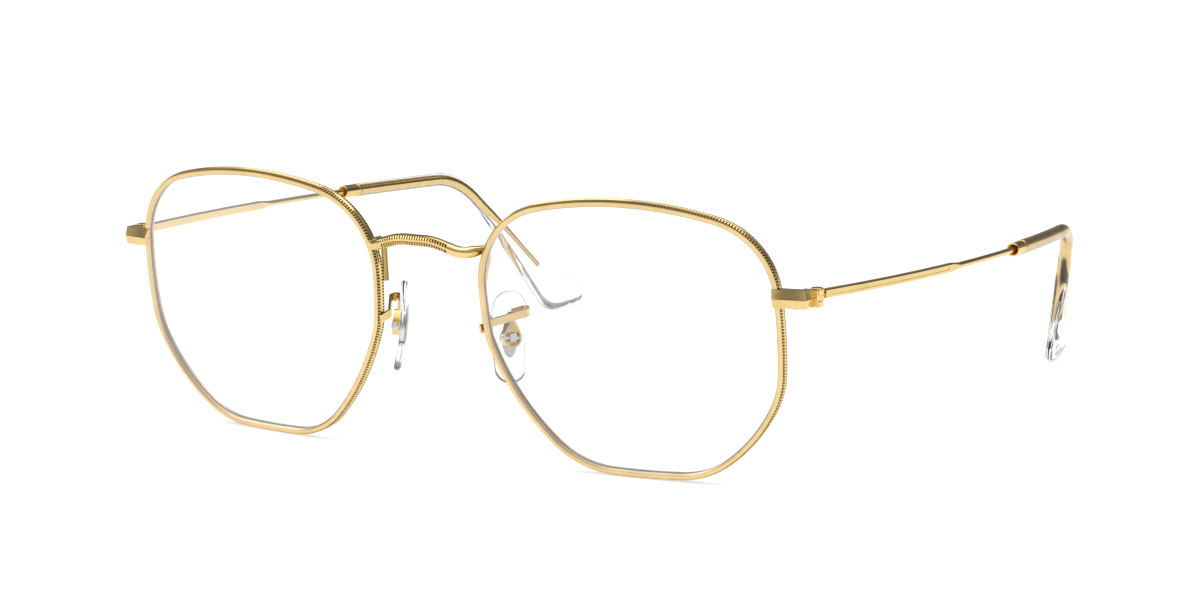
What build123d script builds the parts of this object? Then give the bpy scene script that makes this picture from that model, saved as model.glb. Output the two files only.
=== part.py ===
from build123d import *
from math import cos, degrees, hypot, radians, sin, sqrt, tan
import os

# Metal-rimmed hexagonal eyeglasses, in millimetres.
# X runs across the face, the left lens on +X. The front faces -Y, the temples run back along +Y.
# Z = 0 is the surface that the rims and the temple tips stand on.

# Lens opening
EYE_WIDTH = 53.0
EYE_HEIGHT = 46.4
LENS_SPACING = 76.7
BASE_RADIUS = 168.0
WRAP = 6.4
TILT = 7.96
# The opening's six bowed sides, anticlockwise from the temple side, seen from the front of the left lens:
# the radius of each, as a share of the width.
side_bow_shares = (1.68, 1.25, 1.31, 0.842, 3.42, 0.566)
# The rounded corner after each side: its radius and how far its centre lies across, as shares of the width,
# and how far its centre lies up, as a share of the height.
corner_shares = (0.253, 0.265, 0.172, 0.289, 0.275, 0.293)
corner_across_shares = (0.2337, -0.2446, -0.3293, -0.0899, 0.123, 0.1927)
corner_up_shares = (0.1545, 0.1537, 0.0048, -0.1833, -0.2008, -0.0824)
# From the middle of the face to the nose side and to the temple side of an opening
NOSE_SIDE = (LENS_SPACING - EYE_WIDTH) / 2
TEMPLE_SIDE = (LENS_SPACING + EYE_WIDTH) / 2

# Rim wire
RIM_WIDTH = 1.15
RIM_DEPTH = 1.6
GROOVE_DEPTH = 0.45
GROOVE_WIDTH = 0.6
GROOVE_INSET = 0.5
EDGE_STEP_WIDTH = 0.2
EDGE_STEP_DEPTH = 0.12
WAIST_WIDTH = 0.4
WAIST_DEPTH = 0.1
RIM_SPLIT = 0.12

# Lens
LENS_THICKNESS = 1.1
LENS_INSET = 0.25
LENS_CLEARANCE = 0.04

# Bridge
BRIDGE_WIRE = 2.0
BRIDGE_CREST_SHARE = 0.287
BRIDGE_CREST_FORWARD = 4.97
BRIDGE_CREST_RISE = 14.54
BRIDGE_CREST_RADIUS_SHARE = 0.928
BRIDGE_DIP_SHARE = 0.768
BRIDGE_DIP_FORWARD = 4.6
BRIDGE_DIP_RISE = 12.85
BRIDGE_DIP_RADIUS_SHARE = 0.2025
BRIDGE_END_INSET = 1.05
BRIDGE_END_BACK = 0.05
BRIDGE_END_RISE = 13.1
BRIDGE_END_WIRE = 1.35
BRIDGE_TAPER = 2.6
TAIL_WIRE = 1.2
TAIL_TOP_INSET = 1.25
TAIL_TOP_BACK = 1.1
TAIL_TOP_RISE = 11.9
TAIL_END_INSET = 2.05
TAIL_END_BACK = 0.4
TAIL_END_RISE = 5.9
TAIL_BEND_RADIUS = 0.9

# Hinge
HINGE_OUTSET = 4.15
HINGE_X = TEMPLE_SIDE + HINGE_OUTSET
HINGE_Y = 9.08
HINGE_RISE = 8.72
KNUCKLE_DIAMETER = 2.2
KNUCKLE_HEIGHT = 0.95
KNUCKLE_GAP = 0.05
KNUCKLE_DROP = 0.2
HINGE_SCREW_DIAMETER = 1.0
HINGE_HEAD_DIAMETER = 2.0
HINGE_HEAD_HEIGHT = 0.25
SCREW_SLOT_WIDTH = 0.25
SCREW_SLOT_DEPTH = 0.18
SCREW_CLEARANCE = 0.03
SCREW_POINT = 0.15

# End block, split along its ridge into an upper and a lower half
BLOCK_HEIGHT = 3.0
BLOCK_REACH = 7.0
BLOCK_SHOULDER = 0.45
BLOCK_LEAD = 4.9
BLOCK_SLOPE = 1.7
BLOCK_THICKNESS = 2.2
BLOCK_WALL = 1.9
BLOCK_CORNER = 1.0
BLOCK_DRAFT = 11.0
BLOCK_SPLIT = 0.06
LEAF_THICKNESS = 0.5
LEAF_WIDTH = 2.0
LEAF_SETBACK = 1.45
LOCK_SCREW_SETBACK = 3.55
LOCK_SCREW_INBOARD = 2.0
LOCK_SCREW_DIAMETER = 0.9
LOCK_HEAD_DIAMETER = 1.4
LOCK_HEAD_HEIGHT = 0.3
LOCK_SCREW_BITE = 1.1

# Temple
TEMPLE_BOW_RADIUS = 300.0
TEMPLE_SPLAY = 9.6
TEMPLE_FALL = 2.0
BAR_HEIGHT = 1.6
BAR_THICKNESS = 1.05
BAR_EDGE = 0.3
BAR_START = 1.55
BAR_LENGTH = 41.0
BAR_TAPER = 3.0
TAPER_INSET = 0.02
BAR_OUTSET = 0.15
BAR_RISE = 0.3
BAR_GROOVE_WIDTH = 0.5
BAR_GROOVE_DEPTH = 0.12
BAR_GROOVE_MARGIN = 1.5
WIRE_DIAMETER = 1.1
EAR_BEND_AT = 105.5
EAR_BEND_RADIUS = 15.0
DROP_ANGLE = 47.0
TUCK_ANGLE = 27.0
CORE_END_SETBACK = 8.0

# Ferrule and temple tip
FERRULE_AT = 69.85
FERRULE_LENGTH = 4.5
FERRULE_DIAMETER = 2.5
FERRULE_CUP_DEPTH = 0.7
FERRULE_CUP_WALL = 0.25
FERRULE_ROLL = 0.12
FERRULE_ROLL_WIDTH = 0.5
FERRULE_CLEARANCE = 0.04
TIP_DIAMETER = 2.7
PADDLE_THICKNESS = 2.4
PADDLE_EDGE = 0.8
# The paddle's outline, set out from the middle of its wire's line, down the drop and across to the rear
HEEL_DOWN = -0.4
HEEL_ACROSS = -6.5
HEEL_RADIUS = 5.0
TOE_DOWN = 8.4
TOE_ACROSS = 5.6
TOE_RADIUS = 2.0
FRONT_FLARE_UP = 29.0
REAR_FLARE_UP = 18.0
FLARE_HALF = 1.0
SLEEVE_RUN = 19.0
SLEEVE_CLEARANCE = 0.02

# Nose pads, each set out from its middle
PAD_INSET = 1.2
PAD_Y = 7.47
PAD_DROP = 3.2
PAD_SPLAY = 29.0
PAD_LEAN = 2.5
PAD_PITCH = 5.9
PAD_HEIGHT = 15.8
PAD_REAR = 3.0
PAD_FRONT = 4.3
PAD_FRONT_FOOT = 2.6
PAD_THICKNESS = 1.2
PAD_BOW_RADIUS = 40.0
PAD_TOP_RADIUS = 3.3
PAD_FOOT_RADIUS = 2.5

# Insert plate in the pad, with the lug that the pad screw passes through
INSERT_LENGTH = 7.1
INSERT_WIDTH = 3.0
INSERT_THICKNESS = 0.45
INSERT_COVER = 0.3
LUG_WIDTH = 1.2
LUG_HEIGHT = 1.4
PAD_SCREW_DIAMETER = 0.85
PAD_HEAD_DIAMETER = 1.3
PAD_HEAD_LENGTH = 0.4

# Box that holds the lug, and the arm that carries the box
BOX_DIAMETER = 3.6
BOX_DEPTH = 1.2
BOX_WALL = 0.35
BOX_FLOOR = 0.25
BOX_GAP = 0.3
BOX_FORWARD = 0.4
BOX_SHOULDER_DIAMETER = 1.8
BOX_SHOULDER_RISE = 1.9
BOX_NECK_WIDTH = 1.2
BOX_NECK_RISE = 4.4
BOX_NECK_THICKNESS = 0.5
LUG_SLOT_CLEARANCE = 0.2
ARM_HEIGHT = 1.4
ARM_THICKNESS = 0.45
ARM_GAP = 0.27
ARM_RISE = -0.45
ARM_PITCH = 12.0
ARM_ROOT_INSET = 1.7
ARM_ROOT_FORWARD = 0.9
ARM_ELBOW_BACK = 1.9
ARM_RETURN_WIDTH = 1.7
ARM_RETURN_LENGTH = 2.0

# How far cuts run past the pieces they cut.
OVERRUN = 2.0

LEAF_FRONT_Y = HINGE_Y - LEAF_SETBACK - LEAF_THICKNESS


def circle_meeting(centre_a, reach_a, centre_b, reach_b, facing):
    """The point at the two given distances from two centres, on the side that the facing looks to."""
    across_x, across_z = centre_b[0] - centre_a[0], centre_b[1] - centre_a[1]
    apart = hypot(across_x, across_z)
    along = (reach_a ** 2 - reach_b ** 2 + apart ** 2) / (2 * apart)
    off = sqrt(reach_a ** 2 - along ** 2)
    unit_x, unit_z = across_x / apart, across_z / apart
    choices = [
        (centre_a[0] + unit_x * along - unit_z * off * way, centre_a[1] + unit_z * along + unit_x * off * way)
        for way in (1, -1)
    ]
    return max(choices, key=lambda point: point[0] * facing[0] + point[1] * facing[1])


def on_circle(centre, radius, through):
    """The point of a circle on the ray from its centre through another point."""
    reach = hypot(through[0] - centre[0], through[1] - centre[1])
    share = radius / reach
    return (centre[0] + (through[0] - centre[0]) * share, centre[1] + (through[1] - centre[1]) * share)


def arc_between(centre, radius, start, end):
    """The short arc of a circle from one of its points to another."""
    middle = on_circle(centre, radius, ((start[0] + end[0]) / 2, (start[1] + end[1]) / 2))
    return ThreePointArc(start, middle, end)


def eye_outline(grow):
    """The lens opening, with every arc moved out by grow, as a face in x and z of the lens."""
    bows = [share * EYE_WIDTH for share in side_bow_shares]
    corners = [share * EYE_WIDTH for share in corner_shares]
    pivots = [
        (across * EYE_WIDTH, up * EYE_HEIGHT) for across, up in zip(corner_across_shares, corner_up_shares)
    ]
    centres = []
    for side, bow in enumerate(bows):
        before, after = pivots[side - 1], pivots[side]
        inwards = (-before[0] - after[0], -before[1] - after[1])
        centres.append(circle_meeting(before, bow - corners[side - 1], after, bow - corners[side], inwards))
    edges = []
    for side, bow in enumerate(bows):
        after = (side + 1) % len(bows)
        start = on_circle(centres[side], bow + grow, pivots[side - 1])
        turn_in = on_circle(centres[side], bow + grow, pivots[side])
        turn_out = on_circle(centres[after], bows[after] + grow, pivots[side])
        edges.append(arc_between(centres[side], bow + grow, start, turn_in))
        edges.append(arc_between(pivots[side], corners[side] + grow, turn_in, turn_out))
    return Face(Wire(edges))


def eye_prism(grow):
    """The opening's outline pushed through the whole depth of the front."""
    sag = EYE_WIDTH ** 2 / (2 * BASE_RADIUS)
    return extrude(Plane.XZ * eye_outline(grow), amount=sag + RIM_DEPTH, both=True)


def base_sphere(depth):
    """The lens curve, moved back by depth."""
    return Pos(0, BASE_RADIUS, 0) * Sphere(BASE_RADIUS - depth)


def eye_plate(grow, front, back):
    """A curved plate of the opening's outline, between two depths behind the lens curve."""
    return (eye_prism(grow) & base_sphere(front)) - base_sphere(back)


def eye_band(inner, outer, front, back):
    """A curved band between two outlines and two depths."""
    return eye_plate(outer, front, back) - eye_prism(inner)


def lens_place(rise):
    """Where the left lens sits: turned back towards the temple, tilted, and half the spacing out."""
    return Pos(0, 0, rise) * Rot(X=TILT) * Pos(LENS_SPACING / 2, 0, 0) * Rot(Z=WRAP)


def make_rim():
    """The rim wire, with the lens groove inside and a stepped, waisted edge outside."""
    rim = eye_band(0, RIM_WIDTH, 0, RIM_DEPTH)
    rim -= eye_plate(GROOVE_DEPTH, GROOVE_INSET, GROOVE_INSET + GROOVE_WIDTH)
    rim -= eye_band(RIM_WIDTH - EDGE_STEP_WIDTH, RIM_WIDTH + OVERRUN, 0, EDGE_STEP_DEPTH)
    waist_front = (RIM_DEPTH + EDGE_STEP_DEPTH - WAIST_WIDTH) / 2
    rim -= eye_band(RIM_WIDTH - WAIST_DEPTH, RIM_WIDTH + OVERRUN, waist_front, waist_front + WAIST_WIDTH)
    return rim


def make_lens():
    """The lens, a curved disc with the tongue round its edge that sits in the rim's groove."""
    lens = eye_plate(-LENS_CLEARANCE, LENS_INSET, LENS_INSET + LENS_THICKNESS)
    tongue = eye_plate(
        GROOVE_DEPTH - LENS_CLEARANCE,
        GROOVE_INSET + LENS_CLEARANCE,
        GROOVE_INSET + GROOVE_WIDTH - LENS_CLEARANCE,
    )
    return lens + tongue


def wire_along(points, radii, diameter):
    """A round wire along straight runs joined by tangent arcs."""
    path = FilletPolyline(*points, radius=radii)
    start = Plane(origin=path @ 0, z_dir=path % 0)
    return sweep(start * Circle(diameter / 2), path)


def make_bridge(rim_blank):
    """The arched bridge, whose ends taper, turn back beside the rims and run down them as tails."""
    crest = Vector(BRIDGE_CREST_SHARE * NOSE_SIDE, -BRIDGE_CREST_FORWARD, EYE_RISE + BRIDGE_CREST_RISE)
    dip = Vector(BRIDGE_DIP_SHARE * NOSE_SIDE, -BRIDGE_DIP_FORWARD, EYE_RISE + BRIDGE_DIP_RISE)
    end = Vector(NOSE_SIDE - BRIDGE_END_INSET, BRIDGE_END_BACK, EYE_RISE + BRIDGE_END_RISE)
    tail_top = Vector(NOSE_SIDE - TAIL_TOP_INSET, TAIL_TOP_BACK, EYE_RISE + TAIL_TOP_RISE)
    tail_end = Vector(NOSE_SIDE - TAIL_END_INSET, TAIL_END_BACK, EYE_RISE + TAIL_END_RISE)
    outwards = (end - dip).normalized()
    left_half = [crest, dip, end - outwards * BRIDGE_TAPER]
    right_half = [Vector(-point.X, point.Y, point.Z) for point in reversed(left_half)]
    crest_radius, dip_radius = BRIDGE_CREST_RADIUS_SHARE * NOSE_SIDE, BRIDGE_DIP_RADIUS_SHARE * NOSE_SIDE
    radii = [dip_radius, crest_radius, crest_radius, dip_radius]
    arch = wire_along(right_half + left_half, radii, BRIDGE_WIRE)
    taper = Plane(origin=end - outwards * BRIDGE_TAPER / 2, z_dir=outwards) * Cone(
        BRIDGE_WIRE / 2, BRIDGE_END_WIRE / 2, BRIDGE_TAPER
    )
    ball = Pos(end) * Sphere(BRIDGE_END_WIRE / 2)
    tail = wire_along([end, tail_top, tail_end], [TAIL_BEND_RADIUS], TAIL_WIRE)
    side = taper + ball + tail
    bridge = arch + side + mirror(side, about=Plane.YZ)
    return bridge - rim_blank - mirror(rim_blank, about=Plane.YZ)


def block_plan():
    """The end block seen from above, at its ridge: from the rim, round the corner, to the hinge leaf."""
    root_x, side_x = HINGE_X - BLOCK_REACH, HINGE_X + BLOCK_SHOULDER
    front_y, rear_y = HINGE_Y - BLOCK_LEAD, HINGE_Y - LEAF_SETBACK
    inner_x = side_x - BLOCK_WALL
    plan = make_face(Polyline(
        (root_x, front_y - BLOCK_SLOPE),
        (side_x, front_y),
        (side_x, rear_y),
        (inner_x, rear_y),
        (inner_x, front_y + BLOCK_THICKNESS),
        (root_x, front_y + BLOCK_THICKNESS - BLOCK_SLOPE),
        close=True,
    ))
    corner = plan.vertices().sort_by_distance((side_x, front_y, 0))[0]
    return fillet(corner, BLOCK_CORNER)


def half_block(way):
    """Half of the end block, above or below the ridge, with its facets leaning in from the ridge."""
    ridge = HINGE_Z + way * BLOCK_SPLIT / 2
    height = BLOCK_HEIGHT / 2 - BLOCK_SPLIT / 2
    half = Pos(0, 0, ridge) * extrude(block_plan(), amount=way * height, taper=BLOCK_DRAFT)
    behind = Pos(HINGE_X, LEAF_FRONT_Y + OVERRUN / 2, HINGE_Z) * Box(2 * BLOCK_REACH, OVERRUN, 2 * BLOCK_HEIGHT)
    return half - rim_space - opening - behind


def screw_hole(x, y, diameter, low, high):
    """A round cutter that stands between two heights."""
    return Pos(x, y, (low + high) / 2) * Cylinder(diameter / 2 + SCREW_CLEARANCE, high - low)


def lock_screw_spot():
    """Where the lock screw stands, from above."""
    return HINGE_X - LOCK_SCREW_INBOARD, HINGE_Y - LOCK_SCREW_SETBACK


def knuckle(level):
    """One hinge knuckle: level 1 is the upper, 0 the middle and -1 the lower one."""
    return Pos(HINGE_X, HINGE_Y, STACK_Z + level * KNUCKLE_HEIGHT) * Cylinder(
        KNUCKLE_DIAMETER / 2, KNUCKLE_HEIGHT - KNUCKLE_GAP
    )


def make_endpiece():
    """The upper half of the end block, with the hinge leaf and its two outer knuckles."""
    half = half_block(1)
    leaf = Pos(HINGE_X, LEAF_FRONT_Y + LEAF_THICKNESS / 2, STACK_Z) * Box(
        LEAF_WIDTH, LEAF_THICKNESS, 3 * KNUCKLE_HEIGHT - KNUCKLE_GAP
    )
    piece = half + leaf
    for level in (1, -1):
        web = Pos(HINGE_X, HINGE_Y - LEAF_SETBACK / 2, STACK_Z + level * KNUCKLE_HEIGHT) * Box(
            KNUCKLE_DIAMETER, LEAF_SETBACK, KNUCKLE_HEIGHT - KNUCKLE_GAP
        )
        piece += knuckle(level) + web
    lock_x, lock_y = lock_screw_spot()
    piece -= screw_hole(lock_x, lock_y, LOCK_SCREW_DIAMETER, HINGE_Z - OVERRUN, HINGE_Z + LOCK_SCREW_BITE + SCREW_POINT)
    return piece - screw_hole(HINGE_X, HINGE_Y, HINGE_SCREW_DIAMETER, HINGE_Z - BLOCK_HEIGHT, HINGE_Z + BLOCK_HEIGHT)


def make_closing_block():
    """The lower half of the end block, drawn up to the other by the lock screw."""
    lock_x, lock_y = lock_screw_spot()
    half = Pos(0, -BLOCK_SPLIT, 0) * half_block(-1) - rim_space - opening
    return half - screw_hole(lock_x, lock_y, LOCK_SCREW_DIAMETER, HINGE_Z - BLOCK_HEIGHT, HINGE_Z + OVERRUN)


def upright_screw(shank, shank_length, head, head_height):
    """A slotted screw on Z, its head seated on z = 0 and its shank hanging below."""
    screw = Pos(0, 0, -shank_length / 2) * Cylinder(shank / 2, shank_length)
    screw = chamfer(screw.edges().group_by(Axis.Z)[0], SCREW_POINT)
    cap = Pos(0, 0, head_height / 2) * Cylinder(head / 2, head_height)
    cap = fillet(cap.edges().group_by(Axis.Z)[-1], head_height / 2)
    slot = Pos(0, 0, head_height) * Box(head + OVERRUN, SCREW_SLOT_WIDTH, 2 * SCREW_SLOT_DEPTH)
    return screw + (cap - slot)


def make_hinge_screw():
    """The screw down through the three knuckles."""
    length = 3 * KNUCKLE_HEIGHT - KNUCKLE_GAP
    top = STACK_Z + length / 2
    screw = upright_screw(HINGE_SCREW_DIAMETER, length, HINGE_HEAD_DIAMETER, HINGE_HEAD_HEIGHT)
    return Pos(HINGE_X, HINGE_Y, top) * screw


def make_lock_screw():
    """The screw up through the closing block into the end block, its head below."""
    lock_x, lock_y = lock_screw_spot()
    foot = HINGE_Z - BLOCK_HEIGHT / 2
    screw = upright_screw(
        LOCK_SCREW_DIAMETER, BLOCK_HEIGHT / 2 + LOCK_SCREW_BITE, LOCK_HEAD_DIAMETER, LOCK_HEAD_HEIGHT
    )
    return Pos(lock_x, lock_y, foot) * Rot(X=180) * screw


def temple_heading(run):
    """The temple's plan heading in degrees from +Y, outwards, after a run along its arc."""
    return TEMPLE_SPLAY - degrees(run / TEMPLE_BOW_RADIUS)


def temple_point(run):
    """The temple's centre line after a run from the hinge axis."""
    start, now = radians(TEMPLE_SPLAY), radians(temple_heading(run))
    out = TEMPLE_BOW_RADIUS * (cos(now) - cos(start))
    back = TEMPLE_BOW_RADIUS * (sin(start) - sin(now))
    fall = radians(TEMPLE_FALL)
    return Vector(
        HINGE_X + BAR_OUTSET + out, HINGE_Y + back * cos(fall), HINGE_Z + BAR_RISE - back * sin(fall)
    )


def temple_direction(run):
    """The unit vector along the temple after a run."""
    turn, fall = radians(temple_heading(run)), radians(TEMPLE_FALL)
    return Vector(sin(turn), cos(turn) * cos(fall), -cos(turn) * sin(fall))


def temple_arc(start, end):
    """The temple's centre line between two runs."""
    return ThreePointArc(temple_point(start), temple_point((start + end) / 2), temple_point(end))


def temple_plane(run):
    """The plane square to the temple after a run, its x across the temple and its y up."""
    direction = temple_direction(run)
    across = direction.cross(Vector(0, 0, 1)).normalized()
    return Plane(origin=temple_point(run), x_dir=across, z_dir=direction)


def drop_direction():
    """The unit vector down the part that goes behind the ear."""
    fall, tuck = radians(DROP_ANGLE), radians(TUCK_ANGLE)
    return Vector(-sin(tuck) * cos(fall), cos(tuck) * cos(fall), -sin(fall))


def paddle_across():
    """The unit vector across the broad face of the paddle, upright over its run."""
    down = drop_direction()
    return Vector(0, -down.Z, down.Y).normalized()


def ear_bend():
    """Where the bend over the ear starts and ends."""
    before, after = temple_direction(EAR_BEND_AT), drop_direction()
    turn = radians(before.get_angle(after))
    tangent = EAR_BEND_RADIUS * tan(turn / 2)
    corner = temple_point(EAR_BEND_AT)
    start_run = EAR_BEND_AT - tangent
    start = temple_point(start_run)
    return start_run, start, corner, corner + after * tangent


def paddle_at(centre):
    """The paddle, a rounded plate with a slanted end, around the middle of its wire's line."""
    outline = make_face(Polyline(
        (-FLARE_HALF, -FRONT_FLARE_UP),
        (HEEL_ACROSS, HEEL_DOWN),
        (TOE_ACROSS, TOE_DOWN),
        (FLARE_HALF, -REAR_FLARE_UP),
        (FLARE_HALF, -FRONT_FLARE_UP),
        close=True,
    ))
    outline = fillet(outline.vertices().sort_by_distance((HEEL_ACROSS, HEEL_DOWN, 0))[0], HEEL_RADIUS)
    outline = fillet(outline.vertices().sort_by_distance((TOE_ACROSS, TOE_DOWN, 0))[0], TOE_RADIUS)
    across = paddle_across()
    face = Plane(origin=centre, x_dir=across, z_dir=across.cross(drop_direction()))
    plate = extrude(face * outline, amount=PADDLE_THICKNESS / 2, both=True)
    rims = plate.edges().filter_by(lambda edge: abs(edge.tangent_at(0.5).dot(face.z_dir)) < 0.5)
    return fillet(rims, PADDLE_EDGE)


def paddle_centre():
    """The middle of the paddle, as far down the drop as sets the paddle's lowest point on z = 0."""
    corner, down = ear_bend()[2], drop_direction()
    return corner + down * (paddle_at(corner).bounding_box().min.Z / -down.Z)


def sleeve_path(start_run, drop_end):
    """The centre line from a run along the arm, over the bend and down to a point of the drop."""
    bend_run, bend_start, _, bend_end = ear_bend()
    arm = temple_arc(start_run, bend_run)
    bend = TangentArc(bend_start, bend_end, tangent=temple_direction(bend_run))
    return Wire([arm, bend, Line(bend_end, drop_end)])


def make_temple():
    """The temple: its knuckle, the flat bar, the taper into round wire and the core inside the tip."""
    bar_end = BAR_START + BAR_LENGTH
    bar = sweep(
        temple_plane(BAR_START) * RectangleRounded(BAR_THICKNESS, BAR_HEIGHT, BAR_EDGE), temple_arc(BAR_START, bar_end)
    )
    groove_start, groove_end = BAR_START + BAR_GROOVE_MARGIN, bar_end - BAR_GROOVE_MARGIN
    groove_at = Pos(BAR_THICKNESS / 2, 0, 0)
    groove = sweep(
        temple_plane(groove_start) * groove_at * Rectangle(2 * BAR_GROOVE_DEPTH, BAR_GROOVE_WIDTH),
        temple_arc(groove_start, groove_end),
    )
    wire_start = bar_end + BAR_TAPER
    round_side = WIRE_DIAMETER - 2 * TAPER_INSET
    taper = loft([
        temple_plane(bar_end) * RectangleRounded(BAR_THICKNESS, BAR_HEIGHT, BAR_EDGE),
        temple_plane(wire_start) * RectangleRounded(round_side, round_side, round_side / 2 - TAPER_INSET),
    ])
    wire = sweep(temple_plane(wire_start) * Circle(WIRE_DIAMETER / 2), sleeve_path(wire_start, core_end()))
    tang = Pos(HINGE_X, HINGE_Y + BAR_START / 2, STACK_Z) * Box(
        BAR_THICKNESS - BAR_OUTSET, BAR_START + BAR_EDGE, KNUCKLE_HEIGHT - KNUCKLE_GAP
    )
    temple = (bar - groove) + taper + wire + knuckle(0) + tang
    return temple - screw_hole(HINGE_X, HINGE_Y, HINGE_SCREW_DIAMETER, HINGE_Z - BLOCK_HEIGHT, HINGE_Z + BLOCK_HEIGHT)


def core_end():
    """Where the core wire stops inside the paddle."""
    return PADDLE_CENTRE - drop_direction() * CORE_END_SETBACK


def make_ferrule():
    """The collar at the mouth of the tip: cupped in front, rolled behind, bored for the wire."""
    radius, bore_radius = FERRULE_DIAMETER / 2, WIRE_DIAMETER / 2 + FERRULE_CLEARANCE
    body = Cylinder(radius, FERRULE_LENGTH)
    roll = fillet(Cylinder(radius + FERRULE_ROLL, FERRULE_ROLL_WIDTH).edges(), FERRULE_ROLL_WIDTH / 3)
    body += Pos(0, 0, (FERRULE_LENGTH - FERRULE_ROLL_WIDTH) / 2) * roll
    cup = Cone(radius - FERRULE_CUP_WALL, bore_radius, FERRULE_CUP_DEPTH)
    body -= Pos(0, 0, (FERRULE_CUP_DEPTH - FERRULE_LENGTH) / 2) * cup
    body -= Cylinder(bore_radius, FERRULE_LENGTH + OVERRUN)
    return temple_plane(FERRULE_AT + FERRULE_LENGTH / 2) * body


def make_tip():
    """The clear tip: a round sleeve over the wire, which runs down into the widening paddle."""
    mouth = FERRULE_AT + FERRULE_LENGTH + SLEEVE_CLEARANCE
    bend_end, down = ear_bend()[3], drop_direction()
    sleeve = sweep(temple_plane(mouth) * Circle(TIP_DIAMETER / 2), sleeve_path(mouth, bend_end + down * SLEEVE_RUN))
    bore = sweep(
        temple_plane(mouth - OVERRUN) * Circle(WIRE_DIAMETER / 2 + SLEEVE_CLEARANCE),
        sleeve_path(mouth - OVERRUN, core_end() + down * SLEEVE_CLEARANCE),
    )
    return sleeve + paddle_at(PADDLE_CENTRE) - bore


def pad_place():
    """Where a left nose pad sits: x away from the nose, y to the rear and z up, from its middle."""
    middle = Pos(NOSE_SIDE - PAD_INSET, PAD_Y, EYE_RISE - PAD_DROP)
    return middle * Rot(X=-PAD_PITCH) * Rot(Z=-PAD_SPLAY) * Rot(Y=-PAD_LEAN)


def pad_shell(outline, front, back):
    """An outline in y and z of the pad, cut to the pad's bow between two distances from its nose face."""
    blank = extrude(Plane.YZ * outline, amount=PAD_HEIGHT / 2, both=True)
    nose_face = Pos(PAD_BOW_RADIUS - PAD_THICKNESS / 2, 0, 0)
    return (blank & nose_face * Sphere(PAD_BOW_RADIUS - front)) - nose_face * Sphere(PAD_BOW_RADIUS - back)


def pad_outline():
    """The pad from the side: a straight rear edge, a round top and a narrower foot."""
    half = PAD_HEIGHT / 2
    corners = [(PAD_REAR, half), (-PAD_FRONT, half), (-PAD_FRONT_FOOT, -half), (PAD_REAR, -half)]
    face = make_face(Polyline(*corners, close=True))
    face = fillet(face.vertices().group_by(Axis.Y)[-1], PAD_TOP_RADIUS)
    return fillet(face.vertices().group_by(Axis.Y)[0], PAD_FOOT_RADIUS)


def insert_outline(grow):
    """The insert plate's oval, as long as the pad's height runs."""
    return Rot(Z=90) * Ellipse(INSERT_LENGTH / 2 + grow, INSERT_WIDTH / 2 + grow)


def screw_depth():
    """How far the pad screw lies out from the middle of the pad."""
    floor = PAD_THICKNESS / 2 + BOX_GAP + BOX_FLOOR
    return floor + (BOX_DEPTH - BOX_FLOOR) / 2


def pad_screw_bore(length):
    """The cutter for the pad screw, across the box."""
    radius = PAD_SCREW_DIAMETER / 2 + SCREW_CLEARANCE
    return Pos(screw_depth(), -BOX_FORWARD, 0) * Rot(X=90) * Cylinder(radius, length)


def lug(grow):
    """The lug from the insert plate out to just past the pad screw."""
    root = PAD_THICKNESS / 2 - INSERT_COVER - INSERT_THICKNESS
    length = screw_depth() + LUG_HEIGHT / 2 - root
    return Pos(root + length / 2, -BOX_FORWARD, 0) * Box(length, LUG_WIDTH + 2 * grow, LUG_HEIGHT + 2 * grow)


def make_nose_pad():
    """The clear pad, with the pocket that its insert plate fills."""
    pad = pad_shell(pad_outline(), 0, PAD_THICKNESS)
    pocket_back = PAD_THICKNESS - INSERT_COVER
    pocket = pad_shell(insert_outline(SLEEVE_CLEARANCE), pocket_back - INSERT_THICKNESS, pocket_back)
    return pad_place() * (pad - pocket - lug(SLEEVE_CLEARANCE))


def make_pad_insert():
    """The metal plate inside the pad and its lug, bored for the pad screw."""
    plate_back = PAD_THICKNESS - INSERT_COVER
    plate = pad_shell(
        insert_outline(0), plate_back - INSERT_THICKNESS + SLEEVE_CLEARANCE, plate_back - SLEEVE_CLEARANCE
    )
    return pad_place() * (plate + lug(0) - pad_screw_bore(BOX_DIAMETER))


def make_pad_screw():
    """The screw across the box and through the lug, its head to the front."""
    screw = upright_screw(PAD_SCREW_DIAMETER, BOX_DIAMETER, PAD_HEAD_DIAMETER, PAD_HEAD_LENGTH)
    return pad_place() * Pos(screw_depth(), -BOX_FORWARD - BOX_DIAMETER / 2, 0) * Rot(X=90) * screw


def neck_depth():
    """How far the box's neck, and the arm's return behind it, lie out from the middle of the pad."""
    arm_top = BOX_NECK_RISE
    bow = arm_top ** 2 / (2 * PAD_BOW_RADIUS)
    return PAD_THICKNESS / 2 + bow + ARM_GAP + ARM_THICKNESS / 2


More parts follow.
